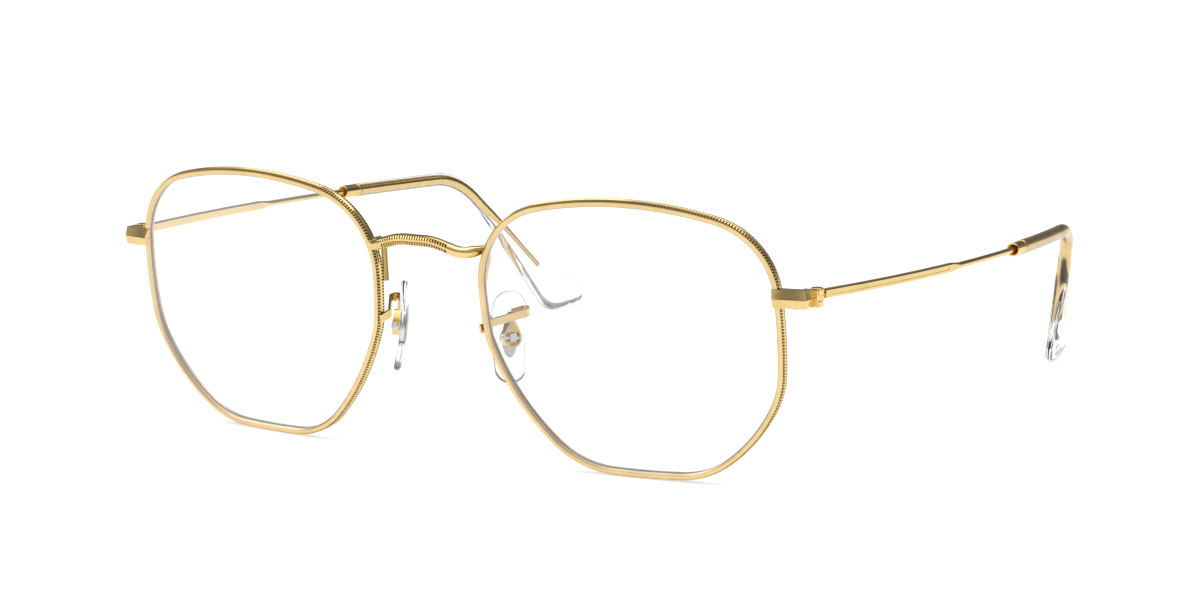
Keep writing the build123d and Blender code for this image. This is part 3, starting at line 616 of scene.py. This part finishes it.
def row_of_teeth(spots, pitch, width, height):
    """The mesh of one milled row: spots are (point, along the row, outwards), sizes in millimetres."""
    carrier = bpy.data.meshes.new("row_points")
    carrier.from_pydata([point * MM for point, _, _ in spots], [], [])
    turns = carrier.attributes.new("turn", "FLOAT_VECTOR", "POINT")
    for index, (_, along, out) in enumerate(spots):
        along = along.normalized()
        across = out.cross(along).normalized()
        axes = Matrix((along, across, along.cross(across))).transposed()
        turns.data[index].vector = axes.to_euler()
    holder = bpy.data.objects.new("row_holder", carrier)
    bpy.context.scene.collection.objects.link(holder)
    modifier = holder.modifiers.new("teeth", "NODES")
    modifier.node_group = milled_teeth
    values = {
        "Tooth length": pitch * TOOTH_SHARE * MM,
        "Tooth width": width * MM,
        "Tooth height": height * MM,
        "Top share": TOOTH_TOP_SHARE,
        "Finish": milled_gold,
    }
    for item in milled_teeth.interface.items_tree:
        if item.in_out == "INPUT" and item.name in values:
            modifier[item.identifier] = values[item.name]
    graph = bpy.context.evaluated_depsgraph_get()
    mesh = bpy.data.meshes.new_from_object(holder.evaluated_get(graph), depsgraph=graph)
    bpy.data.objects.remove(holder)
    bpy.data.meshes.remove(carrier)
    return mesh


def join_rows(name, meshes):
    """Several row meshes as one piece of the front."""
    shape = bmesh.new()
    for mesh in meshes:
        shape.from_mesh(mesh)
        bpy.data.meshes.remove(mesh)
    add_piece(name, mesh_of(shape, name), "front", "light_gold_metal", milled_gold)


def turned(ahead, up, angle):
    """The direction at an angle from ahead towards up."""
    return ahead * math.cos(math.radians(angle)) + up * math.sin(math.radians(angle))


def rim_row(way, row_at, lean, pitch, shifted):
    """The spots of one milled row of a rim, leaning to the front, and half a pitch on where shifted."""
    grow, depth = row_at
    place = lens_place(way)
    teeth = round(eye_length(grow) / pitch)
    stations = eye_stations(grow, 2 * teeth)[int(shifted)::2]
    points = [place @ on_lens_curve(spot, depth) for spot, _ in stations]
    spots = []
    for index, (spot, out) in enumerate(stations):
        front = Vector((spot.x, -math.sqrt(BASE_RADIUS ** 2 - spot.length_squared), spot.y)) / BASE_RADIUS
        level = Vector((out.x, 0, out.y))
        level = (level - front * level.dot(front)).normalized()
        along = points[(index + 1) % len(points)] - points[index - 1]
        spots.append((points[index], along, (place.to_3x3() @ turned(level, front, lean)).normalized()))
    return spots


def make_rim_milling(side, way):
    """The two milled rows of a rim, in front and to the rear."""
    front = rim_row(way, FRONT_ROW_AT, FRONT_ROW_LEAN, FRONT_ROW_PITCH, False)
    rear = rim_row(way, REAR_ROW_AT, REAR_ROW_LEAN, REAR_ROW_PITCH, True)
    join_rows("rim_milling_" + side, [
        row_of_teeth(front, FRONT_ROW_PITCH, FRONT_ROW_WIDTH, FRONT_TOOTH_HEIGHT),
        row_of_teeth(rear, REAR_ROW_PITCH, REAR_ROW_WIDTH, REAR_TOOTH_HEIGHT),
    ])


def fillet_path(corners, radii, step):
    """Points along straight runs joined by arcs, about step apart, in order."""
    points = [corners[0]]
    for before, corner, after, radius in zip(corners, corners[1:], corners[2:], radii):
        into, away = (before - corner).normalized(), (after - corner).normalized()
        half = into.angle(away) / 2
        tangent = radius / math.tan(half)
        centre = corner + (into + away).normalized() * (radius / math.sin(half))
        start, end = corner + into * tangent, corner + away * tangent
        pieces = max(2, round(radius * (math.pi - 2 * half) / step))
        spin = (start - centre).angle(end - centre)
        axis = (start - centre).cross(end - centre).normalized()
        points.append(start)
        for piece in range(1, pieces + 1):
            turn = Matrix.Rotation(spin * piece / pieces, 3, axis)
            points.append(centre + turn @ (start - centre))
    points.append(corners[-1])
    return points


def evenly(points, pitch):
    """Points a pitch apart along a chain of points, with the direction of travel."""
    spots, left = [], 0.0
    for start, end in zip(points, points[1:]):
        run = (end - start).length
        while left <= run:
            spots.append((start.lerp(end, left / run), (end - start).normalized()))
            left += pitch
        left -= run
    return spots


def bridge_spots(pitch, half):
    """Spots a pitch apart along the bridge wire within half of the middle: (point, along, ahead, up)."""
    base = Vector((0, SHIFT, EYE_RISE))
    left_half = [base + Vector(point) for point in (BRIDGE_CREST, BRIDGE_DIP, BRIDGE_END)]
    right_half = [Vector((-point.x, point.y, point.z)) for point in reversed(left_half)]
    radii = (BRIDGE_DIP_RADIUS, BRIDGE_CREST_RADIUS, BRIDGE_CREST_RADIUS, BRIDGE_DIP_RADIUS)
    spots = []
    for point, along in evenly(fillet_path(right_half + left_half, radii, BRIDGE_STEP), pitch):
        if abs(point.x) <= half:
            ahead = Vector((0, 0, 1)).cross(along).normalized()
            ahead *= -1 if ahead.y > 0 else 1
            up = along.cross(ahead).normalized()
            up *= -1 if up.z < 0 else 1
            spots.append((point, along, ahead, up))
    return spots


def bridge_row(angle):
    """The spots of one milled row along the bridge, at an angle above straight ahead."""
    floor = BRIDGE_WIRE / 2 - BRIDGE_RECESS
    spots = []
    for point, along, ahead, up in bridge_spots(BRIDGE_ROW_PITCH, BRIDGE_ROW_HALF):
        out = turned(ahead, up, angle)
        spots.append((point + out * floor, along, out))
    return spots


def bridge_section():
    """The bridge wire's section with its channels, as (angle, radius, finish of the face that follows)."""
    radius = BRIDGE_WIRE / 2
    floor = radius - BRIDGE_RECESS
    half = math.degrees((BRIDGE_ROW_WIDTH / 2 + BRIDGE_ROW_EDGE) / radius)
    marks = []
    for angle in BRIDGE_ROW_ANGLES:
        marks += [(angle - half, radius, WIRE), (angle - half + BRIDGE_WALL_ANGLE, floor, SHADED_CHANNEL),
                  (angle, floor, SHADED_CHANNEL), (angle + half - BRIDGE_WALL_ANGLE, floor, WIRE),
                  (angle + half, radius, WIRE)]
    first_angle, *first_rest = marks[0]
    section = []
    for mark, after in zip(marks, marks[1:] + [(first_angle + 360, *first_rest)]):
        section.append(mark)
        gap = after[0] - mark[0]
        if mark[1] == after[1] == radius:
            parts = math.ceil(gap / BRIDGE_FACE_ANGLE)
            section += [(mark[0] + gap * part / parts, radius, WIRE) for part in range(1, parts)]
    return section


def make_bridge():
    """The bridge: the solid's smooth ends and tails, and between them a wire with two milled channels."""
    shape = merged_solid("bridge")
    seam = BRIDGE_SEAM * MM
    for way in (1, -1):
        parts = shape.verts[:] + shape.edges[:] + shape.faces[:]
        bmesh.ops.bisect_plane(shape, geom=parts, plane_co=(way * seam, 0, 0), plane_no=(1, 0, 0))
    middle = [face for face in shape.faces if abs(face.calc_center_median().x) < seam]
    bmesh.ops.delete(shape, geom=middle, context="FACES")
    bmesh.ops.holes_fill(shape, edges=[edge for edge in shape.edges if edge.is_boundary])
    section = bridge_section()
    rings = []
    for point, _, ahead, up in bridge_spots(BRIDGE_STEP, BRIDGE_SEAM + BRIDGE_STEP):
        rings.append([shape.verts.new((point + turned(ahead, up, angle) * radius) * MM)
                      for angle, radius, _ in section])
    finishes = [finish for _, _, finish in section]
    made = []
    for ring, after in zip(rings, rings[1:]):
        made += skin(shape, ring, after, finishes)
    made += [shape.faces.new(rings[0]), shape.faces.new(rings[-1][::-1])]
    bmesh.ops.recalc_face_normals(shape, faces=made)
    mesh = mesh_of(shape, "bridge_wire", SOLID_SHARP_ANGLE)
    # The second finish is painted shade on the floors of the milled channels.
    bridge = add_piece("bridge_wire", mesh, "front", "light_gold_metal", polished_gold, painted_shade_gold)
    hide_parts("bridge")


def make_bridge_milling():
    """The two milled rows of the bridge, the upper one first."""
    join_rows("bridge_milling", [
        row_of_teeth(bridge_row(angle), BRIDGE_ROW_PITCH, BRIDGE_ROW_WIDTH, BRIDGE_RECESS)
        for angle in reversed(BRIDGE_ROW_ANGLES)
    ])


def rounded_ring(corners, radii, step):
    """Evenly spaced points round a closed outline whose corners are rounded."""
    points = [Vector((*corner, 0)) for corner in corners]
    seam = (points[0] + points[-1]) / 2
    path = fillet_path([seam, *points, seam], radii, step)
    return [spot.xy for spot, _ in evenly(path, step)][:-1]


def loft(rings, name):
    """A closed smooth mesh through rings of points in millimetres, with both ends closed by fans."""
    shape = bmesh.new()
    made = [[shape.verts.new(point * MM) for point in ring] for ring in rings]
    for ring, after in zip(made, made[1:]):
        skin(shape, ring, after, [0] * len(ring))
    for ring in (made[0], made[-1]):
        middle = shape.verts.new(sum((vert.co for vert in ring), Vector()) / len(ring))
        for step in range(len(ring)):
            shape.faces.new((ring[step], ring[(step + 1) % len(ring)], middle))
    bmesh.ops.recalc_face_normals(shape, faces=shape.faces)
    return mesh_of(shape, name, LOFT_SHARP_ANGLE)


def make_nose_pad(side, way):
    """A clear nose pad, bowed and with its whole edge rounded over."""
    place = Matrix.Translation(Vector(PAD_MIDDLE) + Vector((0, SHIFT, EYE_RISE)))
    for axis, degrees in PAD_TURNS:
        place = place @ Matrix.Rotation(math.radians(degrees), 4, axis)
    place = Matrix.Diagonal((way, 1, 1, 1)) @ place
    outline = rounded_ring(PAD_CORNERS, PAD_RADII, PAD_STEP)
    count = len(outline)
    inwards = []
    for index in range(count):
        along = outline[(index + 1) % count] - outline[index - 1]
        inwards.append(Vector((-along.y, along.x)).normalized())
    if inwards[0].dot(outline[0]) > 0:
        inwards = [-way_in for way_in in inwards]

    def ring(inset, depth, share=1.0):
        """The outline drawn in by inset and shrunk to a share, at a depth below the pad's front."""
        points = []
        for spot, way_in in zip(outline, inwards):
            flat = (spot + way_in * inset) * share
            reach = math.sqrt((PAD_BOW_RADIUS - depth) ** 2 - flat.length_squared)
            points.append(place @ Vector((PAD_BOW_RADIUS - PAD_THICKNESS / 2 - reach, flat.x, flat.y)))
        return points

    round_over = []
    for degrees in PAD_EDGE_ANGLES:
        lean = math.radians(degrees)
        round_over.append((PAD_EDGE_RADIUS * (1 - math.cos(lean)), PAD_EDGE_RADIUS * (1 - math.sin(lean))))
    front = [ring(PAD_EDGE_RADIUS, 0, share) for share in PAD_FACE_SHARES]
    front += [ring(*spot) for spot in round_over[::-1]]
    back = [ring(inset, PAD_THICKNESS - depth) for inset, depth in round_over]
    back += [ring(PAD_EDGE_RADIUS, PAD_THICKNESS, share) for share in PAD_FACE_SHARES[::-1]]
    name = "pad_" + side
    pad = add_piece(name, loft(front + back, name), "nose_pad_" + side, "clear_pad", clear_pad)
    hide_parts("nose_pad_" + side)


def temple_spot(run):
    """The temple's centre line after a run from the hinge axis, and its direction there."""
    start, fall = math.radians(TEMPLE_SPLAY), math.radians(TEMPLE_FALL)
    now = start - run / TEMPLE_BOW_RADIUS
    out = TEMPLE_BOW_RADIUS * (math.cos(now) - math.cos(start))
    back = TEMPLE_BOW_RADIUS * (math.sin(start) - math.sin(now))
    point = Vector((HINGE_X + BAR_OUTSET + out, HINGE_Y + SHIFT + back * math.cos(fall),
                    EYE_RISE + HINGE_RISE + BAR_RISE - back * math.sin(fall)))
    return point, Vector((math.sin(now), math.cos(now) * math.cos(fall), -math.cos(now) * math.sin(fall)))


def span_at(outline, down):
    """How far an outline of (across, down) points reaches across, both ways, at a height."""
    crossings = []
    for here, there in zip(outline, outline[1:] + outline[:1]):
        if (here.y - down) * (there.y - down) <= 0 and here.y != there.y:
            crossings.append(here.x + (there.x - here.x) * (down - here.y) / (there.y - here.y))
    return (min(crossings), max(crossings)) if crossings else (0.0, 0.0)


def rounded_share(value, squareness):
    """A cosine or sine as a squarer ring has it, where a circle's squareness is 2."""
    return math.copysign(abs(value) ** (2 / squareness), value)


def make_tip(side, way):
    """A clear tip: a round sleeve over the arm and the bend, which flattens and widens into the paddle."""
    fall, tuck = math.radians(DROP_ANGLE), math.radians(TUCK_ANGLE)
    drop = Vector((-math.sin(tuck) * math.cos(fall), math.cos(tuck) * math.cos(fall), -math.sin(fall)))
    broad = Vector((0, -drop.z, drop.y)).normalized()
    radius = TIP_DIAMETER / 2
    outline = rounded_ring(PADDLE_CORNERS, PADDLE_RADII, PADDLE_OUTLINE_STEP)
    top, foot = min(spot.y for spot in outline), max(spot.y for spot in outline)

    def section(down):
        """The tip's middle across, half width, half thickness and squareness, at a height of the drop."""
        low, high = span_at(outline, down)
        if down < SLEEVE_ENDS_AT:
            low, high = min(low, -radius), max(high, radius)
        half = (high - low) / 2
        flat = part_of_whole((half - radius) / PADDLE_FLAT_FROM)
        thick = radius + (PADDLE_THICKNESS / 2 - radius) * flat
        square = ROUND + (SQUARED - ROUND) * flat
        end = part_of_whole((foot - down) / FOOT_ROUNDING)
        return (low + high) / 2, half, thick * math.sqrt(1 - (1 - end) ** 2), square

    def ring(centre, along, middle, half, thick, square):
        """The corners round the tip at one place, square to the way along."""
        across = (broad - along * broad.dot(along)).normalized()
        through = across.cross(along)
        points = []
        for index in range(TIP_SIDES):
            turn = math.tau * index / TIP_SIDES
            reach = middle + rounded_share(math.cos(turn), square) * half
            rise = rounded_share(math.sin(turn), square) * thick
            points.append(centre + across * reach + through * rise)
        return points

    downs = [top + (foot - top) * index / PADDLE_RINGS for index in range(PADDLE_RINGS)]
    downs = sorted(downs + [foot - height for height in FOOT_RING_HEIGHTS])
    lowest = min(point.z for down in downs for point in ring(drop * down, drop, *section(down)))
    corner, arm = temple_spot(EAR_BEND_AT)
    middle = corner + drop * ((corner.z + lowest - TIP_FLOOR_GAP) / -drop.z)
    bend = arm.angle(drop)
    tangent = EAR_BEND_RADIUS * math.tan(bend / 2)
    hub = corner + (drop - arm).normalized() * (EAR_BEND_RADIUS / math.cos(bend / 2))
    sleeve = EAR_BEND_AT - tangent - TIP_MOUTH_AT
    rings = []
    for index in range(SLEEVE_RINGS):
        point, along = temple_spot(TIP_MOUTH_AT + sleeve * index / SLEEVE_RINGS)
        rings.append(ring(point, along, 0, radius, radius, ROUND))
    start, axis = corner - arm * tangent - hub, arm.cross(drop).normalized()
    for index in range(BEND_RINGS):
        turn = Matrix.Rotation(bend * index / BEND_RINGS, 3, axis)
        rings.append(ring(hub + turn @ start, turn @ arm, 0, radius, radius, ROUND))
    bend_end = (corner + drop * tangent - middle).dot(drop)
    for down in [bend_end] + [down for down in downs if down > bend_end + BEND_JOIN]:
        rings.append(ring(middle + drop * down, drop, *section(down)))
    mirror = Matrix.Diagonal((way, 1, 1))
    name = "clear_tip_" + side
    mesh = loft([[mirror @ point for point in points] for points in rings], name)
    tip = add_piece(name, mesh, "temple_" + side, "clear_tip", clear_tip)
    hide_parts("temple_tip_" + side)


for side, way in (("left", 1), ("right", -1)):
    make_rim(side, way)
    make_rim_milling(side, way)
    make_tip(side, way)
    dressed_copy("temple_" + side, "temple_" + side, "light_gold_metal", drawn_gold)
    dressed_copy("ferrule_" + side, "temple_" + side, "light_gold_metal", polished_gold)
    for block in ("endpiece_", "closing_block_"):
        dressed_copy(block + side, "front", "light_gold_metal", polished_gold,
                     BLOCK_SHARP_ANGLE, crown_block)
    for part in ("pad_arm_", "pad_box_"):
        dressed_copy(part + side, "front", "light_gold_metal", polished_gold)
    for screw in ("hinge_screw_", "rim_lock_screw_"):
        dressed_copy(screw + side, "front", "gold_screw", polished_gold)
    dressed_copy("pad_screw_" + side, "front", "silver_metal", nickel)
    dressed_copy("pad_insert_" + side, "nose_pad_" + side, "silver_metal", nickel)
    make_nose_pad(side, way)
    dressed_copy("lens_" + side, "front", "clear_lens", coated_lens)

make_bridge()
make_bridge_milling()


# Floor, light and camera

def make_floor():
    """A wide pale floor."""
    half = FLOOR_HALF * MM
    mesh = bpy.data.meshes.new("floor")
    corners = [(-half, -half, 0), (half, -half, 0), (half, half, 0), (-half, half, 0)]
    mesh.from_pydata(corners, [], [(0, 1, 2, 3)])
    floor = bpy.data.objects.new("floor", mesh)
    bpy.context.scene.collection.objects.link(floor)
    mesh.materials.append(floor_material())


def make_world():
    """Studio surroundings: bright in front, dim behind, a dark band over the horizon, a bright ceiling."""
    world = bpy.data.worlds.new("studio")
    bpy.context.scene.world = world
    world.use_nodes = True
    tree = world.node_tree
    back = tree.nodes["Background"]
    place = tree.nodes.new("ShaderNodeTexCoord")
    facing = add_node(tree, "ShaderNodeVectorMath", operation="DOT_PRODUCT")
    facing.inputs[1].default_value = BRIGHT_SIDE
    share = tree.nodes.new("ShaderNodeMapRange")
    share.inputs["From Min"].default_value = -1.0
    height = tree.nodes.new("ShaderNodeSeparateXYZ")
    rise = tree.nodes.new("ShaderNodeMapRange")
    rise.inputs["From Min"].default_value = -1.0
    link_chain(tree, place.outputs["Generated"], facing.inputs[0],
               facing.outputs["Value"], share.inputs["Value"],
               place.outputs["Generated"], height.inputs[0],
               height.outputs["Z"], rise.inputs["Value"])
    by_side = grey_ramp(tree, share.outputs["Result"], GREYS_BY_SIDE)
    by_height = grey_ramp(tree, rise.outputs["Result"], GREYS_BY_HEIGHT)
    product = add_node(tree, "ShaderNodeVectorMath", operation="MULTIPLY")
    link_chain(tree, by_side, product.inputs[0], by_height, product.inputs[1],
               product.outputs["Vector"], back.inputs["Color"])
    back.inputs["Strength"].default_value = WORLD_STRENGTH


def soft_sun(name, source, strength, degrees):
    """A wide soft light from a direction, even all over the floor."""
    data = bpy.data.lights.new(name, "SUN")
    data.energy, data.angle = strength, math.radians(degrees)
    light = bpy.data.objects.new(name, data)
    bpy.context.scene.collection.objects.link(light)
    light.rotation_euler = (-Vector(source)).to_track_quat("-Z", "Y").to_euler()


def make_camera():
    """The camera where the photograph's was."""
    data = bpy.data.cameras.new("camera")
    data.sensor_width = SENSOR_WIDTH
    data.lens = LENS_LENGTH
    data.clip_start, data.clip_end = (distance * MM for distance in CAMERA_SEES)
    camera = bpy.data.objects.new("camera", data)
    bpy.context.scene.collection.objects.link(camera)
    turn = Matrix((CAMERA_RIGHT, CAMERA_UP, CAMERA_BACK)).transposed().to_4x4()
    at = Vector(CAMERA_AT) + Vector((0, SHIFT, 0))
    camera.matrix_world = Matrix.Translation(at * MM) @ turn
    bpy.context.scene.camera = camera
    bpy.context.scene.view_settings.view_transform = "Standard"


make_floor()
make_world()
for sun in SUNS:
    soft_sun(*sun)
make_camera()
